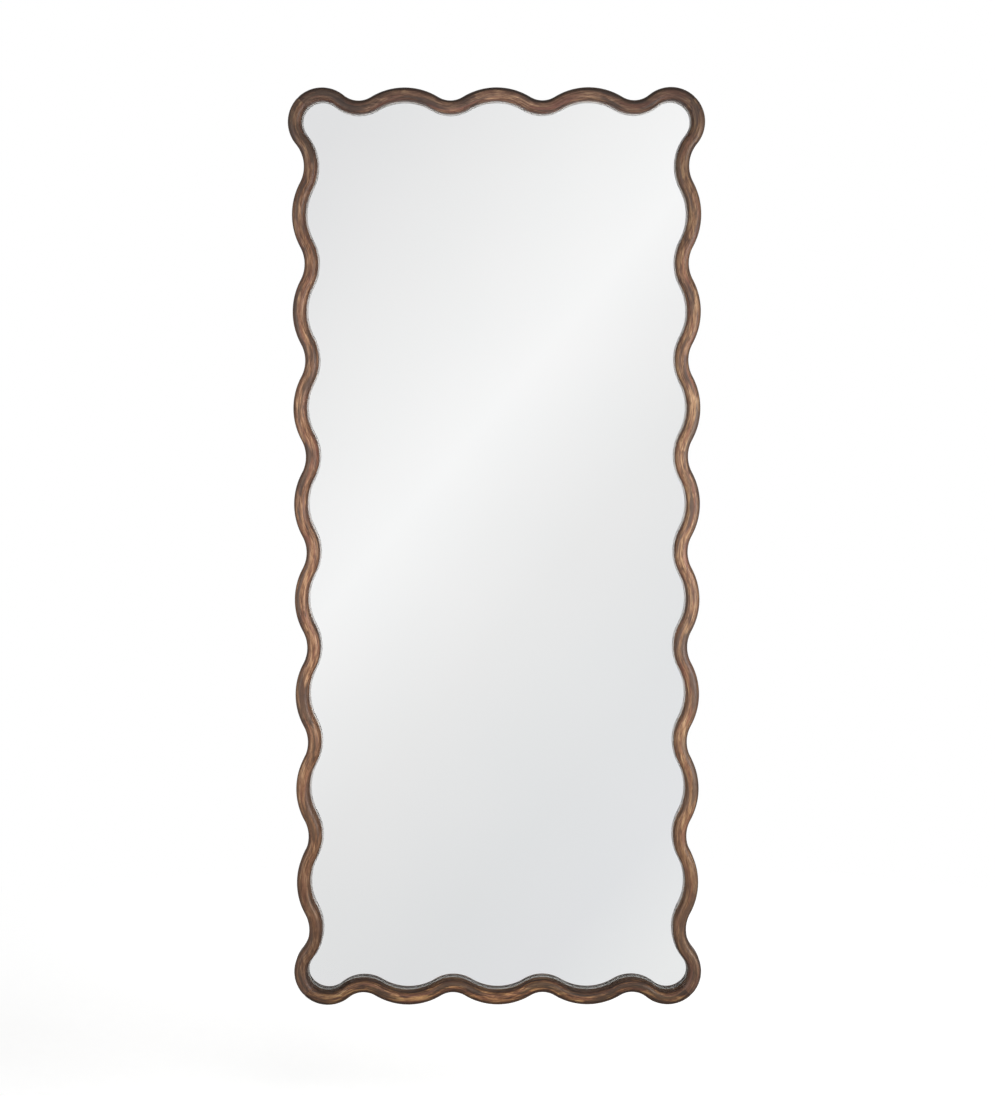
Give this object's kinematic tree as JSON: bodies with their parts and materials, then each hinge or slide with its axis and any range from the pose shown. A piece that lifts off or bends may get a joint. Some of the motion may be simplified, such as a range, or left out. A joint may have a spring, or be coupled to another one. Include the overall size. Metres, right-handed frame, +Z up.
{
  "type": "wall mirror",
  "caption": "Tall full-length mirror in a waved, round-nosed solid wood frame with lobed corners, backed by a panel with ring hangers and rubber bumpers.",
  "frame": {"origin": "on the wall plane that the rear bumpers touch, behind the middle of the mirror's width and height", "axes": "+Z up, +Y from the mirror into the wall, +X to the right for someone facing the mirror"},
  "size_m": [0.864, 0.054, 1.9298],
  "materials": {
    "frame_wood": "satin",
    "dowel_wood": "matte",
    "bedding_tape": "matte",
    "mirror_glass": "polished",
    "backing_panel": "matte",
    "block_rubber": "matte",
    "bumper_rubber": "matte",
    "hanger_steel": "zinc plated",
    "screw_steel": "zinc plated"
  },
  "bodies": {
    "mirror": {"backing_panel": "backing_panel", "bedding_tape": "bedding_tape", "bumper_screws": "screw_steel", "corner_dowels_bottom_left": "dowel_wood", "corner_dowels_bottom_right": "dowel_wood", "corner_dowels_top_left": "dowel_wood", "corner_dowels_top_right": "dowel_wood", "hanger_screws": "screw_steel", "hanger_strap_left": "hanger_steel", "hanger_strap_right": "hanger_steel", "mirror_glass": "mirror_glass", "panel_screws": "screw_steel", "rail_bottom": "frame_wood", "rail_top": "frame_wood", "setting_block_left": "block_rubber", "setting_block_right": "block_rubber", "stile_left": "frame_wood", "stile_right": "frame_wood", "wall_bumper_bottom_left": "bumper_rubber", "wall_bumper_bottom_right": "bumper_rubber", "wall_bumper_top_left": "bumper_rubber", "wall_bumper_top_right": "bumper_rubber"},
    "ring_left": {"hang_ring_left": "hanger_steel"},
    "ring_right": {"hang_ring_right": "hanger_steel"}
  },
  "joints": [
    {"name": "ring_left_swing", "type": "hinge", "parent": "mirror", "child": "ring_left", "pos_m": [-0.3858, -0.00445, 0.63242], "axis": [-1, 0, 0], "range_deg": [0, 183]},
    {"name": "ring_right_swing", "type": "hinge", "parent": "mirror", "child": "ring_right", "pos_m": [0.3858, -0.00445, 0.63242], "axis": [-1, 0, 0], "range_deg": [0, 183]}
  ]
}
